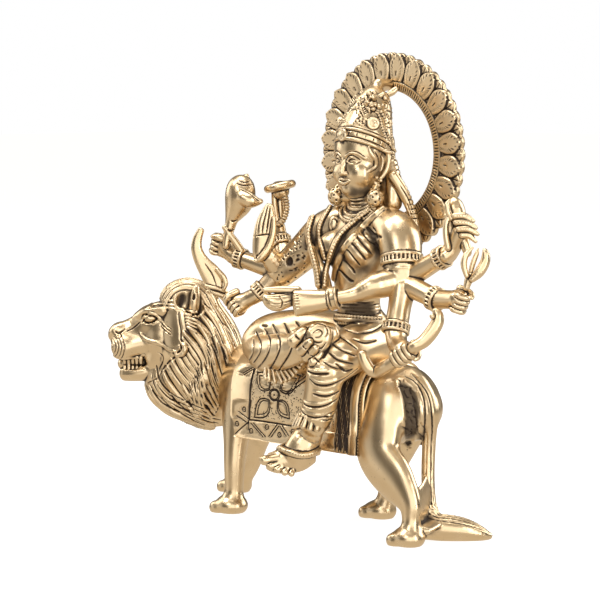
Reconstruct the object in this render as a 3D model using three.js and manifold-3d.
// A cast brass figure of Durga with eight arms, seated sideways on a walking lion, with a
// lotus-petal halo behind her head. Millimetres, +Z up. She faces -Y, and the lion walks towards -X.
// Three castings: the lion with its saddle cloth, the seated figure, and the halo.
import * as THREE from 'three';
import { mergeVertices } from 'three/addons/utils/BufferGeometryUtils.js';
import Module from 'manifold-3d';

const wasm = await Module();
wasm.setup();

// Driving dimensions.
const HEIGHT = 230;              // floor to the top petal of the halo
const CASTING_GAP = 0.3;         // left between two castings that touch
const HALO_RADIUS = 48.6;        // to the petal tips
const HALO_HOLE_RADIUS = 31;
const HALO_BAND_WIDTH = 4.4;     // plain band around the hole
const HALO_THICKNESS = 4;
const HALO_BAND_THICKNESS = 3.2;  // the band lies a little behind the petals' faces
const HALO_PETALS = 24;
const HALO_TURN = 3;             // degrees that the halo turns towards her right
const SADDLE_CLOTH_LENGTH = 89;
const SADDLE_CLOTH_THICKNESS = 2;
const CHAKRA_RADIUS = 8;
const CHAKRA_THICKNESS = 4.6;
const BANGLE_PROUD = 1.2;        // how far a bangle stands out of the arm
const PEG_RADIUS = 3;            // of the two pegs that carry the halo
const FINEST_DETAIL = 0.2;      // slivers smaller than this are merged where shapes join

// The pose and the carving are drawn at this height, and scale with the figure's own height.
const DRAWN_HEIGHT = 230;
const S = HEIGHT / DRAWN_HEIGHT;

const BRASS = { color: 0xc9a566, metalness: 1, roughness: 0.28 };

// Small helpers for points, solids and shapes. Stations and places are drawn millimetres.

const degrees = THREE.MathUtils.degToRad;
const vector = ([x, y, z]) => new THREE.Vector3(x, y, z);
const mix = (a, b, t) => a.map((v, i) => v + (b[i] - v) * t);
const sideways = [-1, 1];
const repeat = (count, make) => Array.from({ length: count }, (_, i) => make(i));

/** Turns a closed geometry into a solid for joining and cutting. */
function solid(geometry) {
  geometry.deleteAttribute('normal');
  geometry.deleteAttribute('uv');
  const merged = mergeVertices(geometry, 1e-4);
  return new wasm.Manifold(new wasm.Mesh({
    numProp: 3,
    vertProperties: Float32Array.from(merged.attributes.position.array),
    triVerts: Uint32Array.from(merged.index.array),
  }));
}

const join = (...solids) => wasm.Manifold.union(solids.flat(Infinity));

/** Turns a solid back into a geometry. */
function geometryOf(shape) {
  const mesh = shape.getMesh();
  const positions = new Float32Array(mesh.numVert * 3);
  for (let i = 0; i < mesh.numVert; i += 1) {
    for (let axis = 0; axis < 3; axis += 1) {
      positions[i * 3 + axis] = mesh.vertProperties[i * mesh.numProp + axis];
    }
  }
  const geometry = new THREE.BufferGeometry();
  geometry.setAttribute('position', new THREE.BufferAttribute(positions, 3));
  geometry.setIndex(new THREE.BufferAttribute(Uint32Array.from(mesh.triVerts), 1));
  return geometry;
}

/** Closes a skin over rings of points, each ring with the same count, with a tip at either end. */
function skin(rings, firstTip, lastTip) {
  const sides = rings[0].length;
  const positions = [...rings.flat(), firstTip, lastTip].flatMap((p) => p.toArray());
  const first = rings.length * sides;
  const last = first + 1;
  const end = first - sides;
  const index = [];
  for (let k = 0; k < sides; k += 1) {
    const next = (k + 1) % sides;
    index.push(first, next, k, last, end + k, end + next);
    for (let a = 0; a < end; a += sides) {
      const b = a + sides;
      index.push(a + k, a + next, b + next, a + k, b + next, b + k);
    }
  }
  const geometry = new THREE.BufferGeometry();
  geometry.setAttribute('position', new THREE.Float32BufferAttribute(positions, 3));
  geometry.setIndex(index);
  return geometry;
}

/** A smooth value between the rows of a table at share t, by a Catmull-Rom curve through each column. */
function between(rows, t) {
  const reach = Math.max(0, Math.min(1, t)) * (rows.length - 1);
  const i = Math.min(Math.floor(reach), rows.length - 2);
  const f = reach - i;
  const at = (k) => rows[Math.max(0, Math.min(rows.length - 1, k))];
  return rows[0].map((_, c) => {
    const [p0, p1, p2, p3] = [at(i - 1)[c], at(i)[c], at(i + 1)[c], at(i + 2)[c]];
    return 0.5 * (2 * p1 + (p2 - p0) * f + (2 * p0 - 5 * p1 + 4 * p2 - p3) * f * f
      + (3 * p1 - p0 - 3 * p2 + p3) * f * f * f);
  });
}

/**
 * A limb: a rounded section swept through stations [x, y, z, half width, half depth].
 * The half width lies along `broad`, and the half depth across it.
 */
class Limb {
  /**
   * `sides` and `rings` are how often the skin is cut around and along, `blunt` is how far the ends
   * round out, and `wave(t, angle, ring, side)` lifts the skin into folds or locks.
   */
  constructor(stations, { sides = 6, broad = [1, 0, 0], blunt = 0.55, rings, wave = () => 0 } = {}) {
    this.rows = stations.map((s) => (s.length === 4 ? [...s, s[3]] : s));
    this.sides = sides;
    this.broad = vector(broad);
    this.blunt = blunt;
    this.rings = rings ?? stations.length;
    this.wave = wave;
  }

  /** The middle, the section axes and the station's values at share t. */
  frame(t) {
    const values = between(this.rows, t);
    const step = 0.5 / (this.rows.length - 1);
    const along = vector(between(this.rows, t + step)).sub(vector(between(this.rows, t - step)));
    along.normalize();
    const wide = this.broad.clone().addScaledVector(along, -along.dot(this.broad)).normalize();
    return { values, along, wide, deep: along.clone().cross(wide), middle: vector(values) };
  }

  /** A place on the limb's skin at share t, at an angle in degrees from the broad axis. */
  place(t, angle, lift = 0) {
    const { values, wide, deep, middle } = this.frame(t);
    const a = degrees(angle);
    middle.addScaledVector(wide, (values[3] + lift) * Math.cos(a));
    return middle.addScaledVector(deep, (values[4] + lift) * Math.sin(a));
  }

  /** The limb's solid, or the same grown by some real millimetres. */
  solid(grow = 0) {
    const corner = (i, k) => {
      const [t, angle] = [i / (this.rings - 1), (360 * (k + 0.5)) / this.sides];
      return this.place(t, angle, grow / S + this.wave(t, angle, i, k)).multiplyScalar(S);
    };
    const rings = repeat(this.rings, (i) => repeat(this.sides, (k) => corner(i, k)));
    const tip = (t, way) => {
      const end = this.frame(t);
      const reach = this.blunt * Math.min(end.values[3], end.values[4]) + grow / S;
      return end.middle.addScaledVector(end.along, way * reach).multiplyScalar(S);
    };
    return solid(skin(rings, tip(0, -1), tip(1, 1)));
  }
}

const limb = (stations, options) => new Limb(stations, options).solid();

/** An ellipsoid with half sizes along its own axes, turned by Euler angles in degrees. */
function ball([x, y, z], radii, { turn = [0, 0, 0], around = 8, rings = 5 } = {}) {
  const geometry = new THREE.SphereGeometry(1, around, rings);
  geometry.rotateX(Math.PI / 2);
  geometry.scale(...radii.map((r) => r * S));
  geometry.applyMatrix4(new THREE.Matrix4().makeRotationFromEuler(new THREE.Euler(...turn.map(degrees))));
  geometry.translate(x * S, y * S, z * S);
  return solid(geometry);
}

/** A turned form: profile rows [radius, height] standing on `foot` along `axis`. */
function turned(profile, foot, axis = [0, 0, 1], around = 8) {
  const points = profile.map(([r, h]) => new THREE.Vector2(r * S, h * S));
  const geometry = new THREE.LatheGeometry(points, around);
  const upright = new THREE.Vector3(0, 1, 0);
  geometry.applyQuaternion(new THREE.Quaternion().setFromUnitVectors(upright, vector(axis).normalize()));
  geometry.translate(...foot.map((v) => v * S));
  return solid(geometry);
}

/** Stations that raise a bangle around a straight stretch of arm, at a share of the way from a to b. */
function bangle(a, b, share, radius, width = 3) {
  const half = width / 2 / vector(a).distanceTo(vector(b));
  const proud = radius + BANGLE_PROUD / S;
  return [[-1, radius], [0, proud], [1, radius]].map(([way, r]) => [...mix(a, b, share + way * half), r]);
}

// The lion.

const HEAD = { centre: [-115.2, -27, 91.7], turn: 45 };  // skull centre, and the turn to the lion's left
const forward = [-Math.cos(degrees(HEAD.turn)), -Math.sin(degrees(HEAD.turn)), 0];
const leftward = [-forward[1], forward[0], 0];

/** A place in the lion's head: ahead of the skull's centre, to its left, and up. */
function inHead(ahead, left, up) {
  const [x, y, z] = HEAD.centre;
  return [x + ahead * forward[0] + left * leftward[0], y + ahead * forward[1] + left * leftward[1], z + up];
}

const headEuler = [0, 0, HEAD.turn];

const lionTrunk = new Limb([
  [36, 0, 66, 12, 12], [31, 0, 63, 17, 17.5], [16, 0, 61.5, 19.5, 19],
  [-36, 0, 59.5, 19.5, 20.5], [-64, 0, 60, 20.5, 21.5], [-84, -2, 63, 18, 20], [-96, -8, 67, 14, 16],
], { sides: 10, broad: [0, 1, 0] });

/** One leg on its paw: leg stations, then the paw's centre and its length and width on the floor. */
function lionLeg(stations, [px, py], [length, width]) {
  const toes = repeat(5, (i) => {
    const side = (i - 2) / 2;
    const groove = i % 2 ? 1.3 : 0;
    const [x, y] = [px - length * 0.06 + 1.6 * side * side, py + side * width * 0.42];
    return [x, y, 1, length * 0.55 - groove, 6 - groove - side * side];
  });
  return join(limb(stations, { sides: 6, broad: [0, 1, 0] }), limb(toes, { sides: 5, blunt: 0.3 }));
}

function lionLegs() {
  return join(
    lionLeg([
      [-72, -11, 66, 9, 13], [-71, -17, 48, 7.6, 9.4], [-70, -20, 36, 6, 6.6], [-69.5, -21.6, 24, 5.2, 5.4],
      [-69.5, -22, 11, 4.6, 4.8], [-70, -22.5, 4, 5.4, 5.4],
    ], [-72.6, -22.8], [15, 15]),
    lionLeg([
      [-76, 11, 64, 9, 13], [-86, 16, 44, 7, 9], [-95, 19, 28, 5.4, 6], [-101, 20, 16, 4.8, 5],
      [-107, 20, 8, 5, 5], [-110, 20.4, 3, 5, 5],
    ], [-114, 20.4], [16, 14.5]),
    lionLeg([
      [20, -9, 68, 9, 15], [24, -15, 54, 8.4, 13.6], [27, -18.5, 40, 7.4, 12.4], [39.5, -20, 29, 5.8, 11],
      [48.6, -20.6, 20, 4.6, 6.4], [50, -21, 12, 4.2, 4.5], [50.6, -21.6, 4, 4.8, 5],
    ], [47.4, -22.2], [15, 13.5]),
    lionLeg([
      [18, 9, 68, 9, 15], [14, 15, 52, 8.4, 12.6], [8, 18, 40, 7.2, 9], [0, 19.4, 27, 5.6, 7.4],
      [-2.6, 20, 17, 4.4, 4.8], [-4.4, 20, 9, 4.4, 4.8], [-6, 20, 3, 4.8, 4.8],
    ], [-10, 20], [16, 13.5]),
  );
}

/** The tail hangs to the floor behind the left hind leg, joined to it by a web at the foot. */
function lionTail() {
  const rope = limb([
    [30, 0, 76, 5, 4.4], [36.4, 0.6, 72, 4], [40.6, 1, 65, 3.6], [41.6, 1.4, 56, 3.5],
    [40.6, 1.6, 44, 3.3], [41, 0.6, 30, 3.2], [43.6, -1.4, 18, 3.3], [46, -2.6, 11, 4.2, 4.6],
  ], { sides: 6, broad: [0, 1, 0] });
  const tuft = new Limb([
    [44, -5, 5.4, 5.4, 5.6], [50.4, -0.6, 5.6, 7, 6.6], [57.6, 6, 4.8, 7, 6], [64, 12, 3, 4.6, 4],
    [67.6, 15.6, 1.8, 1.6, 1.6],
  ], { sides: 14, broad: [0.7, -0.7, 0], wave: (t, a, i, k) => (k % 2 || -1) * 0.6 * Math.sin(Math.PI * t) });
  const web = limb([[50, -18, 7, 2.6, 8], [47, -9, 8, 2.2, 8.6], [46, -2, 9, 2.6, 8]], { sides: 5 });
  return join(rope, tuft.solid(), web);
}

/** The head: skull, muzzle, jaw, brows, nose and ears, with the open mouth cut out and teeth in it. */
function lionFace() {
  const skull = ball(inHead(-2, 0, -2), [14.4, 14, 15.8], { turn: headEuler, around: 8, rings: 6 });
  const muzzle = limb([
    [...inHead(0, 0, -5), 11, 10], [...inHead(11, 0, -5.6), 9.6, 9.4], [...inHead(20, 0, -8), 10.4, 9.2],
    [...inHead(25.4, 0, -8.8), 8, 7],
  ], { sides: 8, broad: leftward });
  const jaw = limb([
    [...inHead(-4, 0, -17), 9, 8], [...inHead(8, 0, -23), 8, 5.6], [...inHead(17, 0, -24.6), 7, 4],
    [...inHead(21, 0, -24.2), 5.4, 3.6],
  ], { sides: 6, broad: leftward });
  const mouth = limb([
    [...inHead(31, 0, -19.6), 13, 2.7], [...inHead(20, 0, -19.4), 13, 2.7], [...inHead(9, 0, -17.8), 13, 1.4],
  ], { sides: 6, broad: leftward });
  const brows = sideways.map((side) => limb([
    [...inHead(15, side * 4, 4.4), 2.2], [...inHead(6, side * 10.4, 7.2), 2.2],
  ], { sides: 4 }));
  const eyes = sideways.map((side) => ball(inHead(7.6, side * 10, 3), [3.6, 2.4, 2.4], {
    turn: headEuler,
    around: 6,
    rings: 3,
  }));
  const ears = sideways.map((side) => limb([
    [...inHead(-14, side * 12.4, 7), 4.4, 3], [...inHead(-15.6, side * 15, 14), 5, 2.6],
    [...inHead(-16, side * 15.4, 18.4), 2.6, 1.4],
  ], { sides: 5, broad: leftward }));
  const nose = limb([[...inHead(24, 0, -2), 3.8, 2.4], [...inHead(27, 0, -6), 4, 2.4]], {
    sides: 5,
    broad: leftward,
  });
  const tooth = (ahead, left, tip) => limb([
    [...inHead(ahead, left, -12.4), 1.8], [...inHead(ahead, left, tip), 0.7],
  ], { sides: 4, blunt: 0.2 });
  const teeth = sideways.flatMap((side) => [tooth(20.6, side * 4.4, -19.4), tooth(14.6, side * 5.6, -18.7)]);
  return join(skull, muzzle, jaw, brows, eyes, ears, nose).subtract(mouth).add(join(teeth));
}

const MANE_LOCKS = 9;
const MANE_TIERS = 4;

const mane = new Limb([
  [...inHead(-10, 0, 13), 14, 12], [...inHead(-12, 0, 4), 20, 18], [...inHead(-16, 0, -12), 23, 24],
  [...inHead(-20, 0, -28), 20.6, 22], [...inHead(-27, 0, -40), 15, 15], [...inHead(-32, 0, -46), 8, 8],
], { sides: MANE_LOCKS * 2, rings: MANE_TIERS * 3, broad: leftward, wave: maneWave });

/** The mane's skin: long locks side by side, swelling in tiers that each end in a step. */
function maneWave(t, angle, ring, side) {
  const swell = [-1, 0.6, 1.6][ring % 3];
  const crest = side % 2 ? 1.3 : -1.3;
  return (swell + crest) * Math.min(1, 8 * (1 - t));
}

const CLOTH = { front: -69.5, hem: 39, top: 82.5, half: 23.4 };

/** The saddle cloth's outline across the lion, from hem to hem over the back, grown by `grow`. */
function clothOutline(grow) {
  const [half, drop] = [CLOTH.half * S + grow, 24 * S];
  const corners = 7;
  const arc = repeat(corners, (i) => {
    const a = (Math.PI * i) / (corners - 1);
    const across = Math.sign(Math.cos(a)) * Math.abs(Math.cos(a)) ** 0.7;
    return [across * half, CLOTH.top * S - drop + (drop + grow) * Math.sin(a) ** 0.85];
  });
  const flare = half + 0.8 * S;
  return [[flare, CLOTH.hem * S - grow], ...arc, [-flare, CLOTH.hem * S - grow]];
}

function clothBlock(grow, lengthen) {
  const shape = new THREE.Shape(clothOutline(grow).map(([y, z]) => new THREE.Vector2(y, z)));
  const depth = SADDLE_CLOTH_LENGTH + 2 * lengthen;
  const geometry = new THREE.ExtrudeGeometry(shape, { depth, bevelEnabled: false });
  const [across, up, along] = [[0, 1, 0], [0, 0, 1], [1, 0, 0]].map(vector);
  geometry.applyMatrix4(new THREE.Matrix4().makeBasis(across, up, along));
  geometry.translate(CLOTH.front * S - lengthen, 0, 0);
  return solid(geometry);
}

/** A raised frame and a four-petalled flower on one side of the cloth. */
function clothRelief(side) {
  const y = side * (CLOTH.half + 0.3);
  const front = CLOTH.front;
  const back = front + SADDLE_CLOTH_LENGTH / S;
  const corner = (x, z) => new THREE.Vector2(x * S, z * S);
  const rectangle = (x0, z0, x1, z1) => [corner(x0, z0), corner(x1, z0), corner(x1, z1), corner(x0, z1)];
  const frame = new THREE.Shape(rectangle(front + 0.5, CLOTH.hem + 0.5, back - 0.5, 74));
  frame.holes.push(new THREE.Path(rectangle(front + 11, 48, back - 3, 72.6)));
  const border = new THREE.ExtrudeGeometry(frame, { depth: 2 * S, bevelEnabled: false });
  border.rotateX(Math.PI / 2);
  border.translate(0, (y + 1) * S, 0);
  const [flowerX, flowerZ] = [front + 29, 59];
  const petals = [45, 135, 225, 315].map(degrees).map((angle) => {
    const reach = (r) => [flowerX + r * Math.cos(angle), y, flowerZ + r * Math.sin(angle)];
    const across = [-Math.sin(angle), 0, Math.cos(angle)];
    return limb([[...reach(5), 2.6, 1.2], [...reach(9), 3.2, 1.5]], { sides: 4, broad: across, blunt: 3 });
  });
  return join(solid(border), petals, ball([flowerX, y, flowerZ], [2.8, 1.8, 2.8], { around: 6, rings: 4 }));
}

/** The cloth as an arch over the lion's back, open below. */
function saddleCloth() {
  const tunnel = clothBlock(-SADDLE_CLOTH_THICKNESS, 1).translate([0, 0, -SADDLE_CLOTH_THICKNESS - 1]);
  return join(clothBlock(0, 0).subtract(tunnel), sideways.map(clothRelief));
}

/** The half space below the floor, which cuts the paws and the tuft off flat. */
function belowFloor() {
  const depth = 30 * S;
  const geometry = new THREE.BoxGeometry(2 * HEIGHT, HEIGHT, depth);
  geometry.translate(0, 0, -depth / 2);
  return solid(geometry);
}

function lion() {
  const body = join(lionTrunk.solid(), lionLegs(), lionTail(), lionFace(), mane.solid(), saddleCloth());
  return body.simplify(FINEST_DETAIL).subtract(belowFloor());
}

// The seated figure.

/** Trunk, hips and neck. */
function torso() {
  const trunk = limb([
    [0, 4, 80, 17, 13], [0, 2, 90, 17.6, 13.6], [0, -3.4, 104, 11.4, 9.6], [0, -5, 118, 12.6, 9.8],
    [0, -4, 131, 16, 11], [0, -2, 144, 18, 10], [0, 0, 152, 13.6, 7.6], [0, -1, 158, 6.6, 6.2],
    [0, -2, 165, 6, 6],
  ], { sides: 9 });
  const breasts = sideways.map((side) => ball([side * 8.8, -12.6, 135.6], [7.8, 7, 7.8], { around: 7 }));
  return join(trunk, breasts);
}

/** Right leg: thigh out to the side, shin folded across the lap, the sole turned to her left. */
function rightLeg() {
  const knee = new Limb([
    [2, 0, 92, 12, 12], [-16, -8, 92, 13, 13], [-30, -16, 91.6, 13.6, 13.6], [-41, -23, 90.4, 12, 11.6],
    [-48, -27, 89, 7.4, 7],
  ], { sides: 8, rings: 9, broad: [0, 0, 1], wave: (t, angle, i) => (i % 2 ? 0.6 : -0.4) });
  const hem = (t, angle, i) => (i % 2 ? 0.5 : -0.5) * (1 - Math.cos(degrees(angle)));
  const shin = new Limb([
    [-47, -29, 86, 7, 6], [-36, -33.6, 84.6, 9.4, 7.4], [-20, -37, 86.6, 9.2, 7.6], [2, -37, 92, 5.6, 5],
  ], { sides: 6, rings: 9, broad: [0, 0, 1], wave: hem });
  const foot = limb([
    [12, -34, 98.6, 4.4, 3.6], [7.6, -39, 96.4, 8, 4.4], [0.6, -45.6, 92, 8.2, 3.2],
  ], { sides: 6, broad: [0.5, 0.2, -0.84] });
  const toes = repeat(5, (k) => {
    const tip = mix([-4, -47.4, 95.6], [4.6, -46.6, 82.6], k / 4);
    const size = 2.8 - 0.3 * k;
    return limb([[...mix(tip, [8, -40, 93], 0.3), size * 0.8], [...tip, size]], { sides: 4 });
  });
  return join(knee.solid(), shin.solid(), foot, toes);
}

/** Left leg: knee forward, shin hanging in front of the cloth inside the folds of the sari. */
function leftLeg() {
  const thigh = new Limb([
    [7, 0, 90, 12, 12], [10, -16, 89.6, 12, 11.4], [11.4, -29, 86, 11.4, 10.6], [11, -37, 80.6, 9.6, 9],
  ], { sides: 7, rings: 6, wave: (t, angle, i) => (i % 2 ? 0.5 : -0.4) });
  const folds = 3;
  const stations = [];
  for (let i = 0; i <= folds; i += 1) {
    const t = i / folds;
    const [x, y, z] = [11 - 6.6 * t ** 1.3, -38.6, 80 - 23.4 * t];
    const r = 9.6 - 1.6 * t;
    stations.push([x, y, z, r, r * 0.92], [x - 0.8, y, z - 5.4, r - 1.5, r * 0.78]);
  }
  const [calf, heel] = [[2.4, -38.6, 50.6], [-0.6, -38.4, 40]];
  const anklets = [0.3, 0.66].flatMap((share) => bangle(calf, heel, share, 4.9, 2.4));
  stations.push([...calf, 5, 5], ...anklets, [...heel, 5, 5]);
  const shin = limb(stations, { sides: 6, blunt: 0.1 });
  const foot = limb([
    [4, -36, 38.4, 4, 4.6], [-1, -40, 37, 6.2, 6], [-8, -44.6, 35.2, 7.4, 5], [-13, -48, 34, 7.2, 3.6],
  ], { sides: 7, broad: [0.7, -0.7, 0], blunt: 0.3 });
  const toes = [-2, -1, 0, 1, 2].map((k) => {
    const [x, y] = [-12 + k * 2.3, -46 - k * 2];
    const tip = [x - 6 + 0.4 * k, y - 3.4, 33.8, 2.3 - 0.15 * k];
    return limb([[x, y, 35, 2.2], tip], { sides: 4, blunt: 0.8 });
  });
  return join(thigh.solid(), shin, foot, toes);
}

const ELBOW = { right: [-43, -14, 122.6], left: [32, -8, 121.6] };

/** A forearm from an elbow to a wrist with its bangle, and on through the stations of a palm. */
function forearm(elbow, wrist, palm, { thick = 5, thin = 4, broad = [0, 1, 0.1] } = {}) {
  return limb([
    [...elbow, thick * 1.15], ...bangle(elbow, wrist, 0.86, thin + 0.3, 4), [...wrist, thin], ...palm,
  ], { sides: 6, broad });
}

/** A forearm whose hand is closed around a shaft through `grip`. */
function gripping(elbow, wrist, grip, shaft, size, girth) {
  const a = vector(shaft).normalize();
  const w = vector(wrist).sub(vector(grip));
  w.addScaledVector(a, -w.dot(a)).normalize();
  const n = a.clone().cross(w);
  const place = (along, back, out) => [0, 1, 2].map((i) => grip[i]
    + size * (along * a.getComponent(i) + back * w.getComponent(i) + out * n.getComponent(i)));
  const fingers = repeat(7, (i) => {
    const knuckle = i % 2 ? 0 : 1;
    return [...place(-4.4 + 1.47 * i, -0.6, 0), (4.4 + knuckle) * size, (4 + knuckle) * size];
  });
  const palm = [[...place(0, 2, 0.8), 5 * size, 3.8 * size]];
  const thumb = [[...place(4.6, 4, -2.4), 1.8 * size], [...place(3.6, -2, -4.8), 1.6 * size]];
  return join(
    forearm(elbow, wrist, palm, { ...girth, broad: shaft }),
    limb(fingers, { sides: 5, broad: w.toArray(), blunt: 0.4 }),
    limb(thumb, { sides: 4 }),
  );
}

function upperArms() {
  const arm = (elbow, inner, shoulder, upper, radius) => limb([
    [...inner, 8], [...shoulder, radius], ...bangle(upper, elbow, 0.2, radius * 0.92, 5), [...elbow, 7.6],
  ], { sides: 8 });
  return join(
    arm(ELBOW.right, [-14, -1, 149], [-23, -4, 143], [-32, -9, 133], 9.8),
    arm(ELBOW.left, [14, -1, 149], [24.4, -3, 143], [29.6, -6, 132], 10.4),
  );
}

/** A straight finger or thumb, thinner to its tip. */
const finger = (root, tip, radius) => limb([[...root, radius], [...tip, radius * 0.7]], { sides: 4 });

/** Right front hand, raised open in blessing. */
function blessingHand() {
  const wrist = [-46, -22, 133];
  const palm = [[-47.4, -24, 140, 3, 5.2], [-47, -24.4, 148, 2.4, 5]];
  const fingers = limb(repeat(7, (i) => {
    const side = i - 3;
    const groove = i % 2;
    return [-45.6 + side * 1.25, -24.2, 149.4 - 0.1 * side * side, 8.4 - 1.4 * groove, 1.7 - 0.7 * groove];
  }), { broad: [0.1, 0, 1], blunt: 0.6 });
  const thumb = finger([-43, -24, 138], [-40.6, -25, 146], 1.9);
  return join(forearm([-43, -16, 124], wrist, palm), fingers, thumb);
}

/** Right upper back hand, with the discus lying on its fingers. */
function discusHand() {
  const wrist = [-53, -5, 139];
  const palm = [[-54, -4, 146, 3.4, 4.6], [-53.6, -4.6, 154, 2.8, 3.8], [-53.2, -5.6, 162, 2.2, 2.4]];
  const curled = limb(repeat(5, (k) => [-50.4, -6, 146 + k * 3, k % 2 ? 2.5 : 1.7]), { sides: 5 });
  const half = CHAKRA_THICKNESS / S / 2;
  const rim = CHAKRA_RADIUS / S;
  const edge = [[0, -half], [rim * 0.7, -half], [rim, 0], [rim * 0.7, half], [0, half]];
  const disc = turned(edge, [-52.6, -6, 164], [-0.2, -0.12, 1], 12);
  return join(forearm([-42, -11, 124], wrist, palm, { thick: 4.6, thin: 3.8 }), curled, disc);
}

/** Right outer hand, holding the mace upright. */
function maceHand() {
  const wrist = [-68.6, -20.4, 128.8];
  const shaft = [0.36, 0, 0.93];
  const profile = [[0, -8], [2.4, -8], [2.4, 9], [6.4, 18], [8.4, 24], [7.6, 29], [0, 39.6]];
  const flare = limb([[-62, -22, 157, 4.4, 3.6], [-49, -23.4, 155.6, 1.6]], { sides: 5, broad: [0, 0, 1] });
  return join(
    gripping([-45, -15, 123], wrist, [-75, -22, 135], shaft, 0.95, { thick: 4.4, thin: 3.7 }),
    turned(profile, [-74.6, -22, 135.4], shaft, 8),
    flare,
  );
}

/** Right lower hand, holding a broad curved sword. */
function swordHand() {
  const wrist = [-52, -23, 111];
  const blade = limb([
    [-62.6, -29, 108.4, 2.2, 2], [-70, -30, 115.4, 4.6, 1.7], [-75.4, -31, 121, 5.2, 1.6],
    [-80.4, -31.6, 128, 4.6, 1.5], [-83.4, -32, 135, 3, 1.3], [-83, -32, 143.4, 1.2, 1],
  ], { sides: 6, broad: [0.8, 0.1, 0.5], blunt: 0.2 });
  const guard = limb([[-71.4, -30, 110.8, 1.8], [-63.4, -30, 115.8, 1.8]], { sides: 4 });
  const pommel = limb([[-58.4, -28, 104, 2.2], [-54, -27, 99, 2.4]], { sides: 4 });
  const hand = gripping(ELBOW.right, wrist, [-60.4, -28.4, 106], [-0.7, -0.1, 0.7], 1.05, { thick: 4.8 });
  return join(hand, blade, guard, pommel);
}

/** Left upper hand, holding a conch. */
function conchHand() {
  const wrist = [57.4, -4, 136.4];
  const shaft = [-0.36, 0, 0.93];
  const profile = [[0, -8], [2.2, -6], [2.6, 6], [4.4, 11], [4, 16], [0, 19.4]];
  const conch = turned(profile, [64.6, -2, 144], shaft, 7);
  return join(gripping([32, -6, 123], wrist, [65, -2, 146.6], shaft, 1.15, { thin: 4.2 }), conch);
}

/** Left middle hand, holding a lotus bud. */
function lotusHand() {
  const wrist = [55, -10.4, 115.4];
  const stem = limb([[67, -12, 106, 1.8], [72, -12, 117, 2], [78, -12, 131, 3.4]], { sides: 5 });
  const petals = [-1, 0, 1].map((k) => limb([
    [78, -12, 130, 2.4], [81.6 + k * 4.6, -12, 136.6, 2.9, 2.6], [84 + k * 2.8, -12, 143, 1.4],
  ], { sides: 5 }));
  const hand = gripping(ELBOW.left, wrist, [71.4, -12, 115.4], [0.4, 0, 0.9], 1.1, { thin: 4.2 });
  return join(hand, stem, petals);
}

/** Left lower hand, holding the bow. */
function bowHand() {
  const wrist = [37, -18, 100.4];
  const bow = limb([
    [28.4, -30.4, 93, 1.4], [26.4, -30.6, 89.6, 1.9], [31, -31, 84.4, 2.2], [37.4, -31, 80.6, 2.6],
    [54, -26, 92.6, 2.6], [61, -23, 96.6, 2.9], [64.6, -20, 103, 2.8], [67, -14, 115, 1.8],
  ], { sides: 5, broad: [0, 1, 0] });
  const hand = gripping([34, -10, 119], wrist, [50, -27, 90.6], [0.82, 0.2, 0.54], 1.05, { thin: 4.8 });
  return join(hand, bow);
}

/** Left front hand, stretched across the lap with its fingers together. */
function givingHand() {
  const [upper, lower] = [[25, -22, 117], [9, -39, 113]];
  const arm = limb([
    [...ELBOW.left, 7.4, 7], [...upper, 6.2], ...bangle(upper, lower, 0.64, 5.2, 4), [...lower, 5.8, 5],
    [1, -43.4, 112.6, 5.6, 4],
  ], { broad: [0, 0, 1] });
  const fingers = [
    finger([2, -43, 115.4], [-17, -50, 115.8], 2.5),
    finger([2, -43, 112.6], [-15.4, -49.6, 112.2], 2.5),
    finger([2, -43, 110], [-13.4, -49, 108.8], 2.4),
  ];
  return join(arm, fingers);
}

/** Head, hair, ears and earrings. */
function head() {
  const skull = limb([
    [0, -5, 162, 4.4, 4], [0, -5.6, 165, 7.6, 7], [0, -3.6, 171, 10.4, 11], [0, -2, 178, 12, 13],
    [0, -1, 187, 12, 13],
  ], { sides: 8 });
  const nose = limb([[0, -14, 178.4, 1.1], [0, -16.6, 172.2, 1.8]], { sides: 4 });
  const lips = limb([[-2.8, -12.6, 167.2, 1], [0, -13.6, 167, 1.8], [2.8, -12.6, 167.2, 1]], {
    sides: 4,
    broad: [0, 0, 1],
  });
  const eyes = sideways.map((side) => limb([[side * 3, -14, 176.4, 1.1], [side * 6.6, -12.8, 176.4, 1.1]], {
    sides: 4,
    broad: [0, 0, 1],
  }));
  const ears = sideways.map((side) => limb([
    [side * 12, 0.4, 180, 2.4], [side * 13, 0.4, 174, 2.6], [side * 12.6, 0, 168, 2],
  ], { sides: 5 }));
  const drops = sideways.map((side) => limb([
    [side * 12.8, -1.8, 166, 2], [side * 13, -3, 161.4, 4.2], [side * 13, -3, 157.6, 3.4],
  ]));
  const hair = limb([[0, 8.6, 187, 10, 6], [0, 9.8, 162, 11, 4.8], [0, 9, 147, 13, 4]], { sides: 6 });
  const veils = sideways.map((side) => limb([
    [side * 12, 4.6, 170, 2, 4], [side * 16, 2, 161, 2.4, 5.6], [side * 20.6, -1, 152, 2, 2.6],
  ], { sides: 5 }));
  return join(skull, nose, lips, eyes, ears, drops, hair, veils);
}

/** The tall crown, leaning back, with its brim and rosettes. */
function crown() {
  const cap = turned([
    [0, -5], [13.4, -5], [13.6, 2], [12.4, 3.4], [11.8, 9], [9.4, 15.6], [5, 21.4], [0, 24.4],
  ], [0, -1, 187.4], [0, 0.28, 1], 10);
  const rosettes = [-60, 0, 60].map((angle) => {
    const a = degrees(angle);
    const place = [12.4 * Math.sin(a), 1.6 - 12.8 * Math.cos(a), 195.6];
    return ball(place, [3.4, 2.6, 3.8], { around: 6, rings: 4 });
  });
  return join(cap, rosettes);
}

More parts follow.
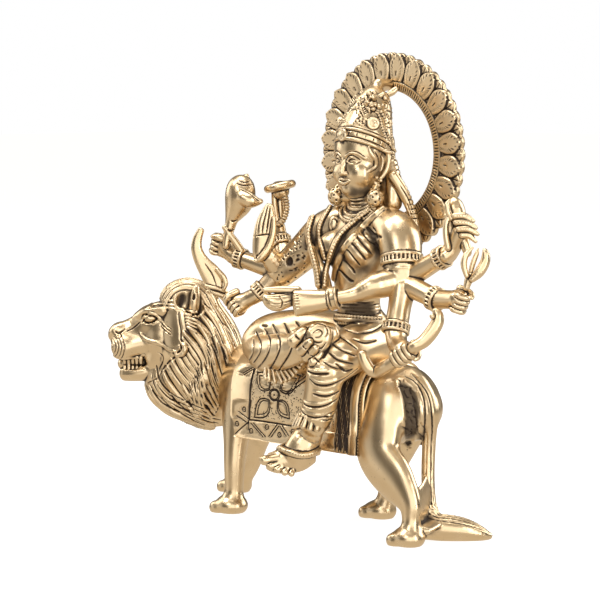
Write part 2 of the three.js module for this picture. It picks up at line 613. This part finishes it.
/** Garlands, choker, sash and belt laid over the chest as raised cords. */
function chestOrnaments() {
  const cord = (places, r) => limb(places.map((p) => [...p, r]), { sides: 4, broad: [0, 1, 0.2] });
  return join(
    cord([[14.6, -5, 153], [12, -16, 146], [6, -19.4, 134], [-1.6, -15, 120], [-5.6, -13, 108]], 2.2),
    cord([[-12, -5, 153], [-14.6, -14, 146], [-14.6, -18.6, 134], [-9.6, -15, 120], [-5.6, -13.4, 108]], 1.7),
    cord([[7, -5.6, 156.4], [4.4, -11.4, 150], [0, -13, 147.6], [-4.4, -11.4, 150], [-7, -5.6, 156.4]], 1.3),
    ball([0, -13.6, 142], [2.4, 2, 3.4], { around: 6, rings: 4 }),
    cord([[-12.6, -3, 101], [-8.6, -11.4, 100.4], [0, -14, 100], [8.6, -11.4, 100.4], [12.6, -3, 101]], 2),
  );
}

const haloCentre = [0, 18, (HEIGHT - HALO_RADIUS) / S];

/** The pegs that carry the halo: one from the crown and one from behind the neck, to the band. */
function haloPegs() {
  const band = HALO_HOLE_RADIUS + HALO_BAND_WIDTH / 2;
  const front = haloCentre[1] * S + HALO_THICKNESS / 2 - HALO_BAND_THICKNESS - CASTING_GAP;
  return sideways.map((way) => {
    const z = haloCentre[2] * S + way * band;
    const root = (way > 0 ? 3 : 0) * S;
    const geometry = new THREE.CylinderGeometry(PEG_RADIUS, PEG_RADIUS, front - root, 8);
    geometry.translate(0, (front + root) / 2, z);
    return solid(geometry);
  });
}

/** The strut that rises from the crown to the upper peg. */
function crownStrut() {
  const top = haloCentre[2] + (HALO_HOLE_RADIUS + HALO_BAND_WIDTH / 2) / S;
  return limb([[0, 5, 208, 3], [0, 6, top, PEG_RADIUS / S]], { sides: 8 });
}

function durga() {
  const body = join(
    torso(), rightLeg(), leftLeg(), upperArms(), blessingHand(), discusHand(), maceHand(), swordHand(),
    conchHand(), lotusHand(), bowHand(), givingHand(), head(), crown(), chestOrnaments(), haloPegs(),
    crownStrut(),
  );
  const relief = 2 * S;
  const seat = join(lionTrunk.solid(CASTING_GAP), clothBlock(relief + CASTING_GAP, relief));
  return body.simplify(FINEST_DETAIL).subtract(seat);
}

// The halo.

/**
 * A ring of lotus petals around a plain band. One closed net of points: each spoke across the ring
 * has the same few corners, and every petal is drawn by four spokes. Round petals lie in front,
 * and the pointed tips of a second row show between them.
 */
function halo() {
  const half = HALO_THICKNESS / 2;
  const band = HALO_HOLE_RADIUS + HALO_BAND_WIDTH;
  const petal = HALO_RADIUS - band;
  const face = half - HALO_BAND_THICKNESS;
  const shapes = [
    { share: 0, crest: half * 0.2, tip: 1, edge: half * 0.5 },
    { share: 0.2, crest: -half * 0.6, tip: 0.9, edge: -half * 0.3 },
    { share: 0.5, crest: -half, tip: 0.95, edge: -half * 0.5 },
    { share: 0.8, crest: -half * 0.6, tip: 0.9, edge: -half * 0.3 },
  ];
  const spokes = [];
  for (let k = 0; k < HALO_PETALS * shapes.length; k += 1) {
    const { share, crest, tip, edge } = shapes[k % shapes.length];
    const angle = (2 * Math.PI * (Math.floor(k / shapes.length) + share)) / HALO_PETALS;
    const corners = [
      [HALO_HOLE_RADIUS, half], [HALO_HOLE_RADIUS, face], [band, face],
      [band + petal * 0.55, crest], [band + petal * tip, edge],
    ];
    spokes.push(corners.map(([r, y]) => new THREE.Vector3(r * Math.sin(angle), y, r * Math.cos(angle))));
  }
  const sides = spokes[0].length;
  const index = [];
  spokes.forEach((_, s) => {
    const [a, b] = [s * sides, ((s + 1) % spokes.length) * sides];
    for (let k = 0; k < sides; k += 1) {
      const next = (k + 1) % sides;
      index.push(a + k, b + next, a + next, a + k, b + k, b + next);
    }
  });
  const geometry = new THREE.BufferGeometry();
  const positions = spokes.flat().flatMap((p) => p.toArray());
  geometry.setAttribute('position', new THREE.Float32BufferAttribute(positions, 3));
  geometry.setIndex(index);
  geometry.rotateZ(degrees(-HALO_TURN));
  geometry.translate(...haloCentre.map((v) => v * S));
  return geometry;
}

// The model: each casting as a named mesh, moved so that the origin is at the middle of the underside.

function casting(name, geometry) {
  const mesh = new THREE.Mesh(geometry, new THREE.MeshStandardMaterial(BRASS));
  mesh.name = name;
  return mesh;
}

const group = new THREE.Group();
group.add(casting('lion', geometryOf(lion())));
group.add(casting('durga', geometryOf(durga())));
group.add(casting('halo', halo()));

const box = new THREE.Box3().setFromObject(group);
const middle = box.getCenter(new THREE.Vector3());
group.position.set(-middle.x, -middle.y, -box.min.z);

export default group;
